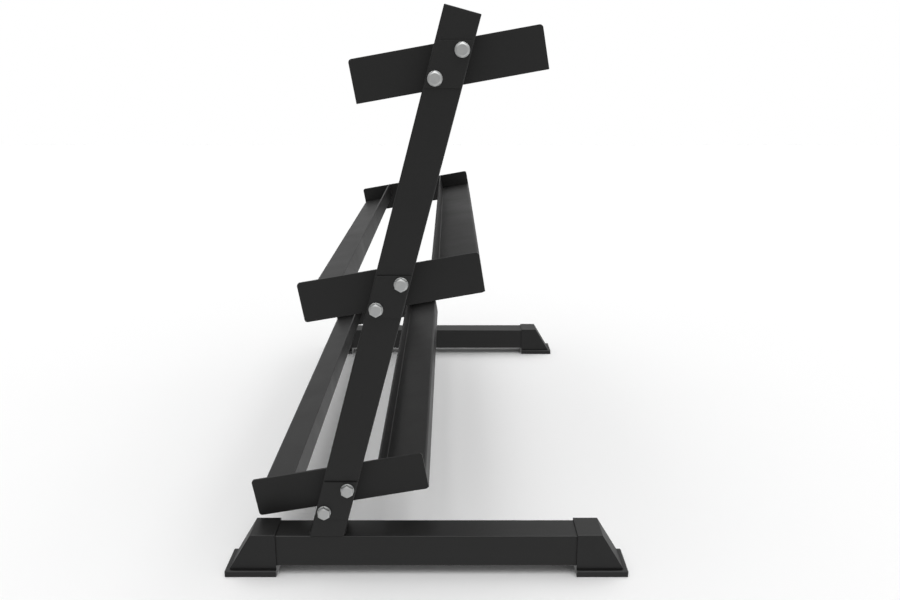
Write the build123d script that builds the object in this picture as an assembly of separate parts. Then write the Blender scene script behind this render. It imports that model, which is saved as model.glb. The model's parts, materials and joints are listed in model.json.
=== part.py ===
from build123d import *
import math
import os

# Three-tier dumbbell rack, in millimetres.
# The origin is on the floor under the middle of the rack. +X runs to the right along the shelves,
# -Y to the front, where the user stands, and +Z up. Every tilt is a turn about X.

# Square tube of the feet and the uprights
TUBE = 50.0                 # outside width
TUBE_WALL = 1.5
TUBE_CORNER = 2.0           # outside corner radius

# Feet
RACK_LENGTH = 1112.0        # between the outer faces of the two foot tubes
FOOT_LENGTH = 524.0         # steel foot tube, front to back
FOOT_UNDERSIDE = 14.0       # height of the tube's underside above the floor

# Rubber boots, measured from the middle of the foot towards one end
BOOT_WALL = 2.5             # sleeve wall beside and above the tube
BOOT_MOUTH = 227.0          # where the sleeve begins
BOOT_BROW = 264.5           # top edge of the sloping nose
BOOT_SLOPE = 30.9           # slope of the nose from the vertical, in degrees
BOOT_EDGE = 1.0             # edge radius
FLANGE_END = 305.0          # end of the base flange
FLANGE_SPREAD = 5.5         # how far the flange stands out beside the sleeve
FLANGE_THICK = 9.75
FLANGE_CHAMFER = 1.4
FLANGE_CORNER = 2.0

# Uprights
UPRIGHT_LEAN = 15.0         # degrees back from the vertical
UPRIGHT_FOOT_Y = -149.5     # centreline where it stands on the foot tube
UPRIGHT_LENGTH = 779.0      # along the centreline, from the foot tube to the top of the end plug
PLUG_HEAD = 2.0             # end plug's head, over the tube's end
PLUG_DEPTH = 16.0           # end plug's skirt, inside the tube
PLUG_WALL = 2.0

# Tiers, along the upright's centreline from the foot tube
FIRST_TIER = 62.0
TIER_PITCH = 323.0
TIERS = ("bottom", "middle", "top")

# Shelves
SHELF_TILT = 10.0           # degrees, front edge low
PLATE_LENGTH = 267.0        # shelf end plate, front to rear
PLATE_HEIGHT = 60.0
PLATE_THICK = 4.0
PLATE_CORNER = 5.0
SHARP_CORNER = 1.0          # lower corners of the top tier's end plates
SHEET = 3.0                 # folded rail sheet
BEND_INSIDE = 1.5           # inside radius of its bends
LIP_GAP = 130.0             # between the lips of the front and the rear rail
SEAT_DROP = 31.5            # from the top of the lip down to the seat
SHEET_EDGE = 0.4            # rounding of cut sheet edges

# Joint plates, on the outer faces of the uprights
JOINT_HEIGHT = 60.0
JOINT_WIDTH = 47.0          # across the upright
JOINT_THICK = 3.0
JOINT_EDGE = 0.3

# M10 fasteners, two on a diagonal at each joint
BOLT_ACROSS = 25.0          # spacing across the upright
BOLT_ALONG = 44.0           # spacing along the upright
BOLT_RADIUS = 5.0
BOLT_LENGTH = 75.0
THREAD_ROOT_RADIUS = 4.1    # of the end that shows past the lock nut
BOLT_HOLE_RADIUS = 5.5
HEX_FLATS = 17.0
HEX_FACE_RADIUS = 7.0       # of the flat left inside a head's or a nut's chamfer
HEAD_HEIGHT = 6.4
WASHER_RADIUS = 10.0
WASHER_BORE = 5.25
WASHER_THICK = 2.0
NUT_HEX_HEIGHT = 7.2
NUT_HEIGHT = 10.2
NUT_COLLAR_RADIUS = 7.8
INSERT_RADIUS = 6.6
INSERT_HEIGHT = 2.2

# Worked out from the above
FOOT_TOP = FOOT_UNDERSIDE + TUBE
OUTER_X = RACK_LENGTH / 2           # outer faces of the tubes
TUBE_X = OUTER_X - TUBE / 2         # their centre planes
INNER_X = OUTER_X - TUBE            # their inner faces
RAIL_END_X = INNER_X - PLATE_THICK  # inner faces of the shelf end plates
HEAD_X = OUTER_X + JOINT_THICK + WASHER_THICK           # bearing faces of the bolt heads
NUT_X = RAIL_END_X - WASHER_THICK                       # bearing faces of the lock nuts
BOLT_GRIP = HEAD_X - NUT_X + NUT_HEIGHT                 # from the head to the far end of the nut
LEAN = math.radians(UPRIGHT_LEAN)

SIDES = {"left": -1, "right": 1}
ENDS = {"front": -1, "rear": 1}


def write(shape, node):
    export_step(shape, f"parts/{node}.step")


def tube_section():
    outside = RectangleRounded(TUBE, TUBE, TUBE_CORNER)
    inside = RectangleRounded(TUBE - 2 * TUBE_WALL, TUBE - 2 * TUBE_WALL, TUBE_CORNER - TUBE_WALL)
    return outside - inside


def tier_centre(tier):
    """Y and Z of a tier's middle, on the uprights' centreline."""
    along = FIRST_TIER + TIERS.index(tier) * TIER_PITCH
    return UPRIGHT_FOOT_Y + along * math.sin(LEAN), FOOT_TOP + along * math.cos(LEAN)


def bolt_centres(tier):
    """Y and Z of the two bolts of a joint: one high and to the rear, one low and to the front."""
    y, z = tier_centre(tier)
    centres = []
    for end in ENDS.values():
        across, along = end * BOLT_ACROSS / 2, end * BOLT_ALONG / 2
        centres.append((
            y + across * math.cos(LEAN) + along * math.sin(LEAN),
            z - across * math.sin(LEAN) + along * math.cos(LEAN),
        ))
    return centres


def bolt_holes(tier, side):
    drill = Rot(Y=90) * Cylinder(BOLT_HOLE_RADIUS, 2 * TUBE)
    return [Pos(side * TUBE_X, y, z) * drill for y, z in bolt_centres(tier)]


def round_faces_across_x(plate, radius):
    """Round the outline edges on both faces of a plate that lies square to X."""
    layers = plate.edges().group_by(Axis.X)
    return fillet(layers[0] + layers[-1], radius)


# ---- Feet ----

def foot_tube(side):
    tube = extrude(Plane.XZ * tube_section(), FOOT_LENGTH / 2, both=True)
    return Pos(side * TUBE_X, 0, FOOT_UNDERSIDE + TUBE / 2) * tube


def boot_sleeve():
    """Pointing to +Y, with a nose that slopes from its brow down to the floor."""
    half_width = TUBE / 2 + BOOT_WALL
    top = FOOT_TOP + BOOT_WALL
    toe = BOOT_BROW + top * math.tan(math.radians(BOOT_SLOPE))
    profile = Polygon((BOOT_MOUTH, 0), (toe, 0), (BOOT_BROW, top), (BOOT_MOUTH, top), align=None)
    sleeve = extrude(Plane.YZ * profile, half_width, both=True)
    outer_edges = sleeve.edges().filter_by(
        lambda edge: edge.center().Z > FLANGE_THICK and edge.center().Y > BOOT_MOUTH + 1
    )
    return fillet(outer_edges, BOOT_EDGE)


def boot_flange():
    """A flat slab, its top edge chamfered on both sides and at the nose."""
    spread = TUBE / 2 + BOOT_WALL + FLANGE_SPREAD
    flange = Pos(0, (BOOT_MOUTH + FLANGE_END) / 2, FLANGE_THICK / 2) * Box(
        2 * spread, FLANGE_END - BOOT_MOUTH, FLANGE_THICK
    )
    flange = fillet(flange.edges().filter_by(Axis.Z).group_by(Axis.Y)[-1], FLANGE_CORNER)
    rim = flange.edges().group_by(Axis.Z)[-1].filter_by(
        lambda edge: edge.center().Y > BOOT_MOUTH + 1
    )
    return chamfer(rim, FLANGE_CHAMFER)


def rubber_boot(side, end):
    """A sleeve on a base flange, with a pocket for the end of the foot tube."""
    depth = FOOT_LENGTH / 2 - BOOT_MOUTH
    pocket = extrude(Plane.XZ * RectangleRounded(TUBE, TUBE, TUBE_CORNER), -depth)
    pocket = Pos(0, BOOT_MOUTH, FOOT_UNDERSIDE + TUBE / 2) * pocket
    boot = boot_sleeve() + boot_flange() - pocket
    return Pos(side * TUBE_X, 0, 0) * Rot(Z=0 if end > 0 else 180) * boot


# ---- Uprights ----

def lean_frame(side):
    """Stands on the foot tube, with Z along the upright's centreline."""
    return Location((side * TUBE_X, UPRIGHT_FOOT_Y, FOOT_TOP), (-UPRIGHT_LEAN, 0, 0))


def upright(side):
    overrun = TUBE * math.tan(LEAN)
    tube = extrude(tube_section(), UPRIGHT_LENGTH - PLUG_HEAD + overrun)
    tube = lean_frame(side) * Pos(0, 0, -overrun) * tube
    below_foot_top = Pos(side * TUBE_X, UPRIGHT_FOOT_Y, FOOT_TOP - TUBE) * Box(
        2 * TUBE, 4 * TUBE, 2 * TUBE
    )
    tube -= below_foot_top
    for tier in TIERS:
        tube -= bolt_holes(tier, side)
    return tube


def upright_plug(side):
    head = extrude(RectangleRounded(TUBE, TUBE, TUBE_CORNER), PLUG_HEAD)
    head = fillet(head.edges().group_by(Axis.Z)[-1], PLUG_HEAD / 2)
    skirt_width = TUBE - 2 * TUBE_WALL
    skirt_corner = TUBE_CORNER - TUBE_WALL
    skirt = RectangleRounded(skirt_width, skirt_width, skirt_corner)
    skirt -= Rectangle(skirt_width - 2 * PLUG_WALL, skirt_width - 2 * PLUG_WALL)
    plug = head + extrude(skirt, -PLUG_DEPTH)
    return lean_frame(side) * Pos(0, 0, UPRIGHT_LENGTH - PLUG_HEAD) * plug


def joint_plate(tier, side):
    """A parallelogram with level top and bottom edges, leaning with the upright."""
    half_width = JOINT_WIDTH / 2 / math.cos(LEAN)
    half_height = JOINT_HEIGHT / 2
    shift = half_height * math.tan(LEAN)
    outline = Polygon(
        (-half_width - shift, -half_height), (half_width - shift, -half_height),
        (half_width + shift, half_height), (-half_width + shift, half_height), align=None
    )
    outline = fillet(outline.vertices(), SHARP_CORNER)
    plate = extrude(Plane.YZ * outline, JOINT_THICK)
    plate = fillet(plate.edges().group_by(Axis.X)[-1], JOINT_EDGE)
    y, z = tier_centre(tier)
    if side < 0:
        plate = mirror(plate, Plane.YZ)
    return Pos(side * OUTER_X, y, z) * plate - bolt_holes(tier, side)


# ---- Shelves ----

def shelf_frame(tier):
    """On the tier's middle, with Y along the shelf towards the rear and Z square to its seats."""
    y, z = tier_centre(tier)
    return Location((0, y, z), (SHELF_TILT, 0, 0))


def shelf_end_plate(tier, side):
    outline = Rectangle(PLATE_LENGTH, PLATE_HEIGHT)
    outline = fillet(outline.vertices().group_by(Axis.Y)[-1], PLATE_CORNER)
    low_corner = SHARP_CORNER if tier == "top" else PLATE_CORNER
    outline = fillet(outline.vertices().group_by(Axis.Y)[0], low_corner)
    plate = extrude(Plane.YZ * outline, PLATE_THICK / 2, both=True)
    plate = round_faces_across_x(plate, SHEET_EDGE)
    centre_x = side * (INNER_X - PLATE_THICK / 2)
    return shelf_frame(tier) * Pos(centre_x, 0, 0) * plate - bolt_holes(tier, side)


def shelf_rail(tier, end):
    """Folded sheet: a lip up on the inner edge, a flat seat and a flange down on the outer edge."""
    top, bottom = PLATE_HEIGHT / 2, -PLATE_HEIGHT / 2
    seat = top - SEAT_DROP
    inner, outer = LIP_GAP / 2, PLATE_LENGTH / 2
    bend_outside = BEND_INSIDE + SHEET
    corners = [
        (inner, top, SHEET_EDGE), (inner + SHEET, top, SHEET_EDGE),
        (inner + SHEET, seat, BEND_INSIDE), (outer, seat, bend_outside),
        (outer, bottom, SHEET_EDGE), (outer - SHEET, bottom, SHEET_EDGE),
        (outer - SHEET, seat - SHEET, BEND_INSIDE), (inner, seat - SHEET, bend_outside),
    ]
    points = [(end * y, z) for y, z, radius in corners]
    outline = FilletPolyline(*points, radius=[radius for y, z, radius in corners], close=True)
    rail = extrude(Plane.YZ * make_face(outline), RAIL_END_X, both=True)
    return shelf_frame(tier) * rail


# ---- Fasteners, each made along +X with its bearing face at X = 0 ----

def hex_prism(height):
    """A hexagon with its points up and down and its outer end chamfered round."""
    point_radius = HEX_FLATS / math.sqrt(3)
    turned = Cylinder(point_radius, height, align=(Align.CENTER, Align.CENTER, Align.MIN))
    radial = point_radius - HEX_FACE_RADIUS
    turned = chamfer(turned.edges().group_by(Axis.Z)[-1], radial * math.tan(math.radians(30)), radial)
    hexagon = extrude(RegularPolygon(point_radius, 6), height)
    return Rot(Y=90) * (hexagon & turned)


def hex_bolt():
    shank = Cylinder(THREAD_ROOT_RADIUS, BOLT_LENGTH, align=(Align.CENTER, Align.CENTER, Align.MAX))
    shank = chamfer(shank.edges().group_by(Axis.Z)[0], 0.5)
    shank += Cylinder(BOLT_RADIUS, BOLT_GRIP, align=(Align.CENTER, Align.CENTER, Align.MAX))
    return hex_prism(HEAD_HEIGHT) + Rot(Y=90) * shank


def flat_washer():
    ring = Cylinder(WASHER_RADIUS, WASHER_THICK, align=(Align.CENTER, Align.CENTER, Align.MIN))
    ring = chamfer(ring.edges().group_by(Axis.Z)[-1], 0.3)
    ring -= Cylinder(WASHER_BORE, 4 * WASHER_THICK)
    return Rot(Y=90) * ring


def lock_nut():
    collar = Cylinder(NUT_COLLAR_RADIUS, NUT_HEIGHT, align=(Align.CENTER, Align.CENTER, Align.MIN))
    collar = fillet(collar.edges().group_by(Axis.Z)[-1], 1.2)
    nut = hex_prism(NUT_HEX_HEIGHT) + Rot(Y=90) * collar
    nut -= Rot(Y=90) * Cylinder(BOLT_RADIUS, 4 * NUT_HEIGHT)
    return nut - nut_insert()


def nut_insert():
    """The nylon ring that grips the thread, in the nut's collar."""
    ring = Cylinder(INSERT_RADIUS, INSERT_HEIGHT) - Cylinder(BOLT_RADIUS, 2 * INSERT_HEIGHT)
    return Pos(NUT_HEX_HEIGHT + INSERT_HEIGHT / 2, 0, 0) * Rot(Y=90) * ring


def at_every_joint(fastener, stand_off, facing):
    """Copies of a fastener at all twelve bolts. facing is 1 outwards and -1 inwards."""
    copies = []
    for side in SIDES.values():
        turn = Rot(Z=0 if side * facing > 0 else 180)
        for tier in TIERS:
            copies += [Pos(side * stand_off, y, z) * turn * fastener for y, z in bolt_centres(tier)]
    return Compound(children=copies)


def main():
    os.makedirs("parts", exist_ok=True)
    for side_name, side in SIDES.items():
        write(foot_tube(side), f"foot_tube_{side_name}")
        write(upright(side), f"upright_{side_name}")
        write(upright_plug(side), f"upright_plug_{side_name}")
        for end_name, end in ENDS.items():
            write(rubber_boot(side, end), f"rubber_boot_{end_name}_{side_name}")
        for tier in TIERS:
            write(joint_plate(tier, side), f"joint_plate_{tier}_{side_name}")
            write(shelf_end_plate(tier, side), f"shelf_end_plate_{tier}_{side_name}")
    for tier in TIERS:
        for end_name, end in ENDS.items():
            write(shelf_rail(tier, end), f"shelf_rail_{tier}_{end_name}")

    write(at_every_joint(flat_washer(), OUTER_X + JOINT_THICK, 1), "head_washers")
    write(at_every_joint(hex_bolt(), HEAD_X, 1), "hex_bolts")
    write(at_every_joint(flat_washer(), RAIL_END_X, -1), "nut_washers")
    write(at_every_joint(lock_nut(), NUT_X, -1), "lock_nuts")
    write(at_every_joint(nut_insert(), NUT_X, -1), "nut_inserts")


main()
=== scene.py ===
import json
import math

import bmesh
import bpy
from mathutils import Matrix, Vector


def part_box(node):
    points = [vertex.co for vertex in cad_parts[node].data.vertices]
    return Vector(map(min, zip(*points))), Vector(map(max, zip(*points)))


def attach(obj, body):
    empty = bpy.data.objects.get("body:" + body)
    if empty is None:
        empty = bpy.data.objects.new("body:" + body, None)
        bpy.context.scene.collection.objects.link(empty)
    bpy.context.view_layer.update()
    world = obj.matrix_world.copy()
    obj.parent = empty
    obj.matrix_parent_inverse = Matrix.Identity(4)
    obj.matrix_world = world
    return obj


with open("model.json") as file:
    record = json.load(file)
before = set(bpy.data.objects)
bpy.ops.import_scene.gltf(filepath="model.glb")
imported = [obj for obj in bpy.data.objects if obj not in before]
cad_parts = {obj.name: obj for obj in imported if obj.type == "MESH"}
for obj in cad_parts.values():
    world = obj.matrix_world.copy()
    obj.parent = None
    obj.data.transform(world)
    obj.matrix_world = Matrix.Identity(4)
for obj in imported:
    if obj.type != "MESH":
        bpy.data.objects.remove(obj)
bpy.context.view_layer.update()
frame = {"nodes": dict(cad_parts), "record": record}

MM = 0.001
ROOT = "root"
SIDES = {"left": -1, "right": 1}
ENDS = {"front": -1, "rear": 1}
TIERS = ("bottom", "middle", "top")

LEAN = math.radians(15)             # of the uprights, back from the vertical
TILT = math.radians(10)             # of the shelves, front edge low
TUBE = 50 * MM
PLATE_LENGTH = 267 * MM
PLATE_HEIGHT = 60 * MM
SHEET = 3 * MM
LIP_GAP = 130 * MM                  # between the two rails' lips
SEAT_DROP = 31.5 * MM               # from the lip's top to the seat
BOLT_ACROSS = 25 * MM
BOLT_ALONG = 44 * MM


# ---- Places taken from the frame ----

def joint_centre(tier):
    """Y and Z of the middle of a tier's joint."""
    low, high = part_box(f"joint_plate_{tier}_right")
    return (low.y + high.y) / 2, (low.z + high.z) / 2


def bolt_centres(tier):
    """Y and Z of the middles of a tier's two bolts."""
    y, z = joint_centre(tier)
    centres = []
    for end in ENDS.values():
        across, along = end * BOLT_ACROSS / 2, end * BOLT_ALONG / 2
        centres.append((
            y + across * math.cos(LEAN) + along * math.sin(LEAN),
            z - across * math.sin(LEAN) + along * math.cos(LEAN),
        ))
    return centres


def shelf_point(tier, x, along, above):
    """A point of a shelf: its X, and how far it is behind and above the middle in the shelf's tilt."""
    y, z = joint_centre(tier)
    return Vector((
        x,
        y + along * math.cos(TILT) - above * math.sin(TILT),
        z + along * math.sin(TILT) + above * math.cos(TILT),
    ))


# ---- Materials ----

NOISE_LOW, NOISE_HIGH = 0.3, 0.7    # most of a noise's values lie between these


def srgb(colour):
    """A hex colour as the linear RGBA that the shaders take."""
    channels = [int(colour[place:place + 2], 16) / 255 for place in (1, 3, 5)]
    linear = [c / 12.92 if c <= 0.04045 else ((c + 0.055) / 1.055) ** 2.4 for c in channels]
    return (*linear, 1.0)


def add(tree, kind, inputs=None, **settings):
    """Adds a node with its settings. Each input takes a value or another node's output."""
    node = tree.nodes.new("ShaderNode" + kind)
    for name, value in settings.items():
        setattr(node, name, value)
    for name, value in (inputs or {}).items():
        if isinstance(value, bpy.types.NodeSocket):
            tree.links.new(value, node.inputs[name])
        else:
            node.inputs[name].default_value = value
    return node


def new_material(name):
    material = bpy.data.materials.new(name)
    material.use_nodes = True
    material.node_tree.nodes.clear()
    return material, material.node_tree


def per_metre(millimetres):
    """The scale at which a noise or cell pattern repeats about once in this many millimetres."""
    return 1000 / millimetres


def black_powder_coat():
    """Polyester powder coat, sprayed and baked on steel: satin black with a fine orange peel, a
    faint grit, slow cloudy changes of gloss, and a paler, smoother line along edges, partly where the
    coat thins and partly a painted highlight."""
    material, tree = new_material("black_powder_coat")
    place = add(tree, "TexCoord").outputs["Object"]
    cloud = add(tree, "TexNoise", {
        "Vector": place, "Scale": per_metre(90), "Detail": 3.0,
    }).outputs["Fac"]
    peel = add(tree, "TexNoise", {
        "Vector": place, "Scale": per_metre(2.6), "Detail": 1.0,
    }).outputs["Fac"]
    # Real grit is about 0.1 mm, and is drawn coarser so that it shows
    grit = add(tree, "TexNoise", {
        "Vector": place, "Scale": per_metre(0.7), "Detail": 2.0,
    }).outputs["Fac"]

    # How well a rounded normal agrees with the true one: fully on the flats, less along an edge
    true_normal = add(tree, "NewGeometry").outputs["Normal"]
    round_normal = add(tree, "Bevel", {"Radius": 0.9 * MM}, samples=6).outputs["Normal"]
    facing = add(tree, "VectorMath", {0: true_normal, 1: round_normal}, operation="DOT_PRODUCT")
    edge = add(tree, "MapRange", {
        "Value": facing.outputs["Value"], "From Min": 0.97, "From Max": 0.75,
    })
    # The edge mask, broken up by the peel, paints a paler line along edges: partly wear where the coat
    # thins, partly a painted highlight for light caught by the rounding
    broken = add(tree, "MapRange", {"Value": peel, "From Min": 0.35, "From Max": 0.6})
    edge_wear_and_highlight = add(tree, "Math", {
        0: edge.outputs["Result"], 1: broken.outputs["Result"],
    }, operation="MULTIPLY")

    clouded = add(tree, "Mix", {
        "Factor": cloud, "A": srgb("#131313"), "B": srgb("#191918"),
    }, data_type="RGBA")
    colour = add(tree, "Mix", {
        "Factor": edge_wear_and_highlight.outputs["Value"], "A": clouded.outputs["Result"], "B": srgb("#2b2b2a"),
    }, data_type="RGBA")
    gloss = add(tree, "MapRange", {
        "Value": cloud, "From Min": NOISE_LOW, "From Max": NOISE_HIGH, "To Min": 0.38, "To Max": 0.46,
    })
    grit_gloss = add(tree, "MapRange", {
        "Value": grit, "From Min": NOISE_LOW, "From Max": NOISE_HIGH, "To Min": -0.03, "To Max": 0.03,
    })
    roughness = add(tree, "Math", {
        0: gloss.outputs["Result"], 1: grit_gloss.outputs["Result"],
    }, operation="ADD")

    skin = add(tree, "Math", {0: peel, 1: 1.0, 2: grit}, operation="MULTIPLY_ADD")
    bump = add(tree, "Bump", {
        "Height": skin.outputs["Value"], "Strength": 0.22, "Distance": 0.06 * MM,
    })
    shader = add(tree, "BsdfPrincipled", {
        "Base Color": colour.outputs["Result"], "Roughness": roughness.outputs["Value"],
        "Normal": bump.outputs["Normal"], "IOR": 1.5,
    })
    add(tree, "OutputMaterial", {"Surface": shader.outputs["BSDF"]})
    return material


def moulded_black_rubber():
    """Compression-moulded SBR rubber: soft black, with the pebble of a blasted mould, broad
    patches of bloom that dull it, and a little pale dust where it faces up."""
    material, tree = new_material("moulded_black_rubber")
    place = add(tree, "TexCoord").outputs["Object"]
    bloom = add(tree, "TexNoise", {
        "Vector": place, "Scale": per_metre(35), "Detail": 4.0,
    }).outputs["Fac"]
    # The pebble and grain of a blasted mould are about 0.3 mm, and are drawn coarser so that they show
    pebble = add(tree, "TexVoronoi", {"Vector": place, "Scale": per_metre(1.1)}, feature="SMOOTH_F1")
    fine = add(tree, "TexNoise", {
        "Vector": place, "Scale": per_metre(0.6), "Detail": 1.0,
    }).outputs["Fac"]

    upward = add(tree, "SeparateXYZ", {"Vector": add(tree, "NewGeometry").outputs["Normal"]})
    level = add(tree, "MapRange", {"Value": upward.outputs["Z"], "From Min": 0.3, "From Max": 1.0})
    dust = add(tree, "Math", {0: level.outputs["Result"], 1: bloom}, operation="MULTIPLY")
    clouded = add(tree, "Mix", {
        "Factor": bloom, "A": srgb("#101010"), "B": srgb("#151515"),
    }, data_type="RGBA")
    colour = add(tree, "Mix", {
        "Factor": dust.outputs["Value"], "A": clouded.outputs["Result"], "B": srgb("#1c1c1b"),
    }, data_type="RGBA")
    roughness = add(tree, "MapRange", {
        "Value": bloom, "From Min": NOISE_LOW, "From Max": NOISE_HIGH, "To Min": 0.40, "To Max": 0.50,
    })
    skin = add(tree, "Math", {
        0: pebble.outputs["Distance"], 1: 1.0, 2: fine,
    }, operation="MULTIPLY_ADD")
    bump = add(tree, "Bump", {
        "Height": skin.outputs["Value"], "Strength": 0.3, "Distance": 0.08 * MM,
    })
    shader = add(tree, "BsdfPrincipled", {
        "Base Color": colour.outputs["Result"], "Roughness": roughness.outputs["Result"],
        "Normal": bump.outputs["Normal"], "IOR": 1.52,
    })
    add(tree, "OutputMaterial", {"Surface": shader.outputs["BSDF"]})
    return material


def moulded_black_polyethylene():
    """Injection-moulded LDPE: a waxy black with a fine leathery mould grain and faint flow marks."""
    material, tree = new_material("moulded_black_polyethylene")
    place = add(tree, "TexCoord").outputs["Object"]
    flow = add(tree, "TexNoise", {
        "Vector": place, "Scale": per_metre(22), "Detail": 2.0, "Distortion": 0.8,
    }).outputs["Fac"]
    # A fine mould grain is about 0.4 mm, and is drawn coarser so that it shows
    grain = add(tree, "TexVoronoi", {"Vector": place, "Scale": per_metre(0.9)}, feature="SMOOTH_F1")
    colour = add(tree, "Mix", {
        "Factor": flow, "A": srgb("#141415"), "B": srgb("#1c1c1d"),
    }, data_type="RGBA")
    roughness = add(tree, "MapRange", {
        "Value": flow, "From Min": NOISE_LOW, "From Max": NOISE_HIGH, "To Min": 0.36, "To Max": 0.48,
    })
    bump = add(tree, "Bump", {
        "Height": grain.outputs["Distance"], "Strength": 0.25, "Distance": 0.06 * MM,
    })
    shader = add(tree, "BsdfPrincipled", {
        "Base Color": colour.outputs["Result"], "Roughness": roughness.outputs["Result"],
        "Normal": bump.outputs["Normal"], "IOR": 1.51,
    })
    add(tree, "OutputMaterial", {"Surface": shader.outputs["BSDF"]})
    return material


def zinc_plated_steel():
    """Bright zinc electroplate on forged steel: pale cool grey metal, satin rather than mirror, with
    a crystalline mottle, fine drawn scratches and a faint warm cast from the passivation."""
    material, tree = new_material("zinc_plated_steel")
    place = add(tree, "TexCoord").outputs["Object"]
    mottle = add(tree, "TexNoise", {
        "Vector": place, "Scale": per_metre(5), "Detail": 4.0,
    }).outputs["Fac"]
    # The plate's crystals are far finer than this, and are drawn coarse so that they show
    crystal = add(tree, "TexVoronoi", {"Vector": place, "Scale": per_metre(1.4)})
    # The scratches lie level, nine times as long as they are wide
    stretched = add(tree, "Mapping", {
        "Vector": place, "Scale": (1.0, 1.0, 9.0), "Rotation": (math.radians(25), 0.0, 0.0),
    })
    scratches = add(tree, "TexNoise", {
        "Vector": stretched.outputs["Vector"], "Scale": per_metre(1.6), "Detail": 3.0,
    }).outputs["Fac"]
    colour = add(tree, "Mix", {
        "Factor": mottle, "A": srgb("#cccfd2"), "B": srgb("#dededa"),
    }, data_type="RGBA")
    gloss = add(tree, "MapRange", {
        "Value": mottle, "From Min": NOISE_LOW, "From Max": NOISE_HIGH, "To Min": 0.3, "To Max": 0.42,
    })
    facets = add(tree, "Math", {
        0: crystal.outputs["Distance"], 1: 0.06, 2: gloss.outputs["Result"],
    }, operation="MULTIPLY_ADD")
    bump = add(tree, "Bump", {"Height": scratches, "Strength": 0.15, "Distance": 0.03 * MM})
    shader = add(tree, "BsdfPrincipled", {
        "Base Color": colour.outputs["Result"], "Roughness": facets.outputs["Value"],
        "Normal": bump.outputs["Normal"], "Metallic": 1.0,
    })
    add(tree, "OutputMaterial", {"Surface": shader.outputs["BSDF"]})
    return material


def natural_nylon():
    """Moulded nylon 6 of a lock nut's ring: milky off-white, slightly see-through and slick."""
    material, tree = new_material("natural_nylon")
    place = add(tree, "TexCoord").outputs["Object"]
    milk = add(tree, "TexNoise", {
        "Vector": place, "Scale": per_metre(3), "Detail": 2.0,
    }).outputs["Fac"]
    colour = add(tree, "Mix", {
        "Factor": milk, "A": srgb("#d6d2c4"), "B": srgb("#e6e3d8"),
    }, data_type="RGBA")
    roughness = add(tree, "MapRange", {"Value": milk, "To Min": 0.32, "To Max": 0.45})
    bump = add(tree, "Bump", {"Height": milk, "Strength": 0.1, "Distance": 0.05 * MM})
    shader = add(tree, "BsdfPrincipled", {
        "Base Color": colour.outputs["Result"], "Roughness": roughness.outputs["Result"],
        "Normal": bump.outputs["Normal"], "IOR": 1.53,
        "Subsurface Weight": 0.15, "Subsurface Scale": 1.0 * MM,
    })
    add(tree, "OutputMaterial", {"Surface": shader.outputs["BSDF"]})
    return material


def pale_studio_floor():
    """Matt white studio floor, with a trace of unevenness."""
    material, tree = new_material("pale_studio_floor")
    place = add(tree, "TexCoord").outputs["Object"]
    cloud = add(tree, "TexNoise", {
        "Vector": place, "Scale": per_metre(700), "Detail": 2.0,
    }).outputs["Fac"]
    colour = add(tree, "Mix", {
        "Factor": cloud, "A": srgb("#f5f5f5"), "B": srgb("#f7f7f7"),
    }, data_type="RGBA")
    shader = add(tree, "BsdfPrincipled", {
        "Base Color": colour.outputs["Result"], "Roughness": 0.9, "Specular IOR Level": 0.0,
    })
    add(tree, "OutputMaterial", {"Surface": shader.outputs["BSDF"]})
    return material


POWDER_COAT = black_powder_coat()
RUBBER = moulded_black_rubber()
POLYETHYLENE = moulded_black_polyethylene()
ZINC = zinc_plated_steel()
NYLON = natural_nylon()

SLOT_MATERIALS = {
    "black_steel": POWDER_COAT,
    "black_rubber": RUBBER,
    "black_plastic": POLYETHYLENE,
    "zinc_steel": ZINC,
    "nylon": NYLON,
}


def finish_cad_nodes():
    """Each node takes the material of the slot that the record gives it."""
    for part in frame["record"]["subparts"]:
        mesh = frame["nodes"][part["node"]].data
        mesh.materials.clear()
        mesh.materials.append(SLOT_MATERIALS[part["material_slot"]])


# ---- Pieces ----

SHARP_ANGLE = math.radians(40)      # edges that turn more than this are shaded as sharp


def new_piece(name, shape, slot):
    """Turns a finished bmesh into a piece of the object."""
    mesh = bpy.data.meshes.new(name)
    bmesh.ops.recalc_face_normals(shape, faces=shape.faces)
    for face in shape.faces:
        face.smooth = True
    shape.to_mesh(mesh)
    shape.free()
    mesh.set_sharp_from_angle(angle=SHARP_ANGLE)
    mesh.materials.append(SLOT_MATERIALS[slot])
    piece = bpy.data.objects.new(name, mesh)
    bpy.context.scene.collection.objects.link(piece)
    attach(piece, ROOT)


BEAD_SIDES = 12
RIPPLE = 1.6 * MM                   # distance from one ripple of a weld to the next
BEAD_TIP = 0.35                     # size of a bead's first ring, as a share of its full size
BEAD_GROWTH = 0.3                   # how much larger each ring is than the one before it, near an end
BEAD_VALLEY = 0.88                  # size of the rings between two ripples


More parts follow.
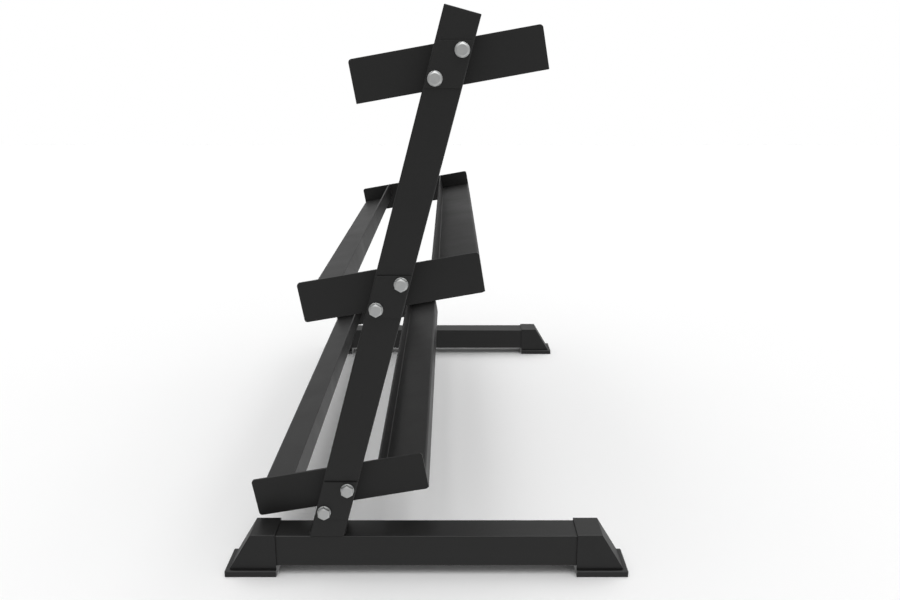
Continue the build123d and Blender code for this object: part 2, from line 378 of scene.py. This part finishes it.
def add_weld_bead(shape, start, end, radius):
    """A rippled bead of weld metal from start to end, centred on the corner that it fills."""
    start, end = Vector(start), Vector(end)
    length = (end - start).length
    ripples = max(3, round(length / RIPPLE))
    step = length / (2 * ripples)
    ring = bmesh.ops.create_circle(shape, segments=BEAD_SIDES, radius=radius)["verts"]
    bead = list(ring)
    bmesh.ops.scale(shape, verts=ring, vec=(BEAD_TIP, BEAD_TIP, 1))
    edges = list({edge for vert in ring for edge in vert.link_edges})
    bmesh.ops.edgenet_fill(shape, edges=edges)
    size = BEAD_TIP
    for count in range(1, 2 * ripples + 1):
        grown = bmesh.ops.extrude_edge_only(shape, edges=edges)["geom"]
        ring = [part for part in grown if isinstance(part, bmesh.types.BMVert)]
        edges = [part for part in grown if isinstance(part, bmesh.types.BMEdge)]
        from_end = min(count, 2 * ripples - count)
        ripple = 1.0 if count % 2 else BEAD_VALLEY
        wanted = ripple * min(1.0, BEAD_TIP + BEAD_GROWTH * from_end)
        bmesh.ops.translate(shape, verts=ring, vec=(0, 0, step))
        bmesh.ops.scale(shape, verts=ring, vec=(wanted / size, wanted / size, 1))
        size = wanted
        bead += ring
    bmesh.ops.edgenet_fill(shape, edges=edges)
    turn = (end - start).to_track_quat("Z", "Y").to_matrix().to_4x4()
    bmesh.ops.transform(shape, matrix=Matrix.Translation(start) @ turn, verts=bead)


FOOT_BEAD = 2.0 * MM
FOOT_BEAD_INSET = 6 * MM            # from the tube's side faces to the ends of its beads


def foot_welds(side_name):
    """Beads that join an upright to its foot tube, across its front and its rear."""
    low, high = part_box(f"foot_tube_{side_name}")
    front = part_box(f"upright_{side_name}")[0].y
    rear = front + TUBE / math.cos(LEAN)
    shape = bmesh.new()
    for y in (front, rear):
        start = (low.x + FOOT_BEAD_INSET, y, high.z)
        end = (high.x - FOOT_BEAD_INSET, y, high.z)
        add_weld_bead(shape, start, end, FOOT_BEAD)
    new_piece(f"foot_welds_{side_name}", shape, "black_steel")


RAIL_BEAD = 2.2 * MM
SEAT_SEAM_INSET = 12 * MM           # from the seat's edges to the ends of the seam under it
LIP_SEAM_FROM = 8 * MM              # above the seat's underside
LIP_SEAM_TO = 6 * MM                # below the lip's top
FLANGE_SEAM_FROM = 6 * MM           # below the seat's underside
FLANGE_SEAM_TO = 4 * MM             # above the flange's bottom


def rail_welds(tier):
    """Beads that join both ends of both rails to the end plates: under the seat, behind the lip and
    inside the flange."""
    shape = bmesh.new()
    top, bottom = PLATE_HEIGHT / 2, -PLATE_HEIGHT / 2
    seat_under = top - SEAT_DROP - SHEET
    inner, outer = LIP_GAP / 2, PLATE_LENGTH / 2
    flange = outer - SHEET
    seams = [
        ((inner + SEAT_SEAM_INSET, seat_under), (outer - SEAT_SEAM_INSET, seat_under)),
        ((inner, seat_under + LIP_SEAM_FROM), (inner, top - LIP_SEAM_TO)),
        ((flange, seat_under - FLANGE_SEAM_FROM), (flange, bottom + FLANGE_SEAM_TO)),
    ]
    for side in SIDES.values():
        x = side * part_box(f"shelf_rail_{tier}_front")[1].x
        for end in ENDS.values():
            for start, stop in seams:
                start_point = shelf_point(tier, x, end * start[0], start[1])
                stop_point = shelf_point(tier, x, end * stop[0], stop[1])
                add_weld_bead(shape, start_point, stop_point, RAIL_BEAD)
    new_piece(f"rail_welds_{tier}", shape, "black_steel")


THREAD_PITCH = 1.5 * MM
THREAD_CREST = 5.0 * MM             # radius of the thread's crest
THREAD_BURIED = 3.9 * MM            # radius of the thread's base, under the shank's surface
THREAD_BASE = 0.9                   # width of the ridge's base, as a share of the pitch
THREAD_TIP = 0.15                   # width of its flat crest, as a share of the pitch
THREAD_TURNS = 2
TURN_STEPS = 28                     # flat steps in one turn
NUT_HEIGHT = 10.2 * MM
THREAD_SETBACK = 0.6 * MM           # from the nut to the middle of the first crest


def add_thread(shape, place):
    """The ridge of a right-handed M10 coarse thread, wound along +X and then put in its place."""
    base, tip = THREAD_BASE * THREAD_PITCH / 2, THREAD_TIP * THREAD_PITCH / 2
    profile = [
        (-base, THREAD_BURIED), (-tip, THREAD_CREST), (tip, THREAD_CREST), (base, THREAD_BURIED),
    ]
    others = set(shape.verts)
    section = shape.faces.new([shape.verts.new((x, 0, radius)) for x, radius in profile])
    bmesh.ops.spin(
        shape, geom=[section, *section.verts, *section.edges], cent=(0, 0, 0), axis=(1, 0, 0),
        dvec=(THREAD_PITCH / TURN_STEPS, 0, 0), angle=math.tau * THREAD_TURNS,
        steps=THREAD_TURNS * TURN_STEPS, use_merge=False, use_duplicate=False,
    )
    ridge = [vert for vert in shape.verts if vert not in others]
    bmesh.ops.transform(shape, matrix=place, verts=ridge)


def bolt_threads():
    """The threads that show past the lock nuts, on the inner ends of all twelve bolts."""
    shape = bmesh.new()
    first_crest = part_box("lock_nuts")[1].x - NUT_HEIGHT - THREAD_SETBACK
    for side in SIDES.values():
        inwards = Matrix.Rotation(math.pi if side > 0 else 0, 4, "Z")
        for tier in TIERS:
            for y, z in bolt_centres(tier):
                add_thread(shape, Matrix.Translation((side * first_crest, y, z)) @ inwards)
    new_piece("bolt_threads", shape, "zinc_steel")


FLOOR_SIZE = 14.0                   # metres along each side
FLOOR_DROP = 0.2 * MM               # keeps the floor clear of the boots' undersides


def studio_floor():
    shape = bmesh.new()
    bmesh.ops.create_grid(shape, x_segments=1, y_segments=1, size=FLOOR_SIZE / 2)
    bmesh.ops.translate(shape, verts=shape.verts, vec=(0, 0, -FLOOR_DROP))
    mesh = bpy.data.meshes.new("studio_floor")
    shape.to_mesh(mesh)
    shape.free()
    mesh.materials.append(pale_studio_floor())
    floor = bpy.data.objects.new("studio_floor", mesh)
    bpy.context.scene.collection.objects.link(floor)
    floor.visible_glossy = False


# ---- Light and camera ----

HORIZON_LIGHT = 0.445
OVERHEAD_LIGHT = 1.98
DIM_UP_TO = 0.50                    # sine of the elevation where the tent starts to brighten
BRIGHT_FROM = 1.0                   # sine of the elevation where it is at its brightest
BELOW_LIGHT = 0.20                  # added below the horizon
BELOW_FULLY = -0.6                  # sine of the elevation where it is fully added
SIDE_SLANT = (-0.03, 0.22, 0.0)     # how much brighter the tent is towards each axis


def studio_light():
    """A soft white tent, dim around the sides and bright overhead, in front of a white backdrop."""
    world = bpy.data.worlds.new("studio")
    world.use_nodes = True
    tree = world.node_tree
    tree.nodes.clear()
    direction = add(tree, "TexCoord").outputs["Generated"]
    height = add(tree, "SeparateXYZ", {"Vector": direction}).outputs["Z"]
    above = add(tree, "MapRange", {
        "Value": height, "From Min": DIM_UP_TO, "From Max": BRIGHT_FROM,
        "To Min": HORIZON_LIGHT, "To Max": OVERHEAD_LIGHT,
    }, interpolation_type="SMOOTHSTEP")
    below = add(tree, "MapRange", {
        "Value": height, "From Min": 0.0, "From Max": BELOW_FULLY, "To Min": 0.0, "To Max": BELOW_LIGHT,
    })
    around = add(tree, "Math", {
        0: above.outputs["Result"], 1: below.outputs["Result"],
    }, operation="ADD")
    slant = add(tree, "VectorMath", {0: direction, 1: SIDE_SLANT}, operation="DOT_PRODUCT")
    strength = add(tree, "Math", {
        0: around.outputs["Value"], 1: slant.outputs["Value"], 2: around.outputs["Value"],
    }, operation="MULTIPLY_ADD")
    tent = add(tree, "Background", {"Color": (1, 1, 1, 1), "Strength": strength.outputs["Value"]})
    backdrop = add(tree, "Background", {"Color": (1, 1, 1, 1), "Strength": 1.0})
    seen = add(tree, "LightPath").outputs["Is Camera Ray"]
    both = add(tree, "MixShader", {
        0: seen, 1: tent.outputs["Background"], 2: backdrop.outputs["Background"],
    })
    add(tree, "OutputWorld", {"Surface": both.outputs["Shader"]})
    bpy.context.scene.world = world


CAMERA_PLACE = (1.733, 0.0356, 0.7448)
CAMERA_PITCH = math.radians(14.93)  # down from the horizontal
CAMERA_LENS = 35.0                  # focal length in millimetres
CAMERA_SENSOR = 36.0                # width in millimetres
CAMERA_REACH = 60.0                 # metres, past the floor's far edge


def studio_camera():
    data = bpy.data.cameras.new("camera")
    data.lens = CAMERA_LENS
    data.sensor_width = CAMERA_SENSOR
    data.clip_end = CAMERA_REACH
    camera = bpy.data.objects.new("camera", data)
    camera.location = CAMERA_PLACE
    camera.rotation_euler = (math.pi / 2 - CAMERA_PITCH, 0, math.pi / 2)
    bpy.context.scene.collection.objects.link(camera)
    bpy.context.scene.camera = camera


finish_cad_nodes()
for side_name in SIDES:
    foot_welds(side_name)
for tier in TIERS:
    rail_welds(tier)
bolt_threads()
studio_floor()
studio_light()
studio_camera()
bpy.context.scene.view_settings.view_transform = "Standard"
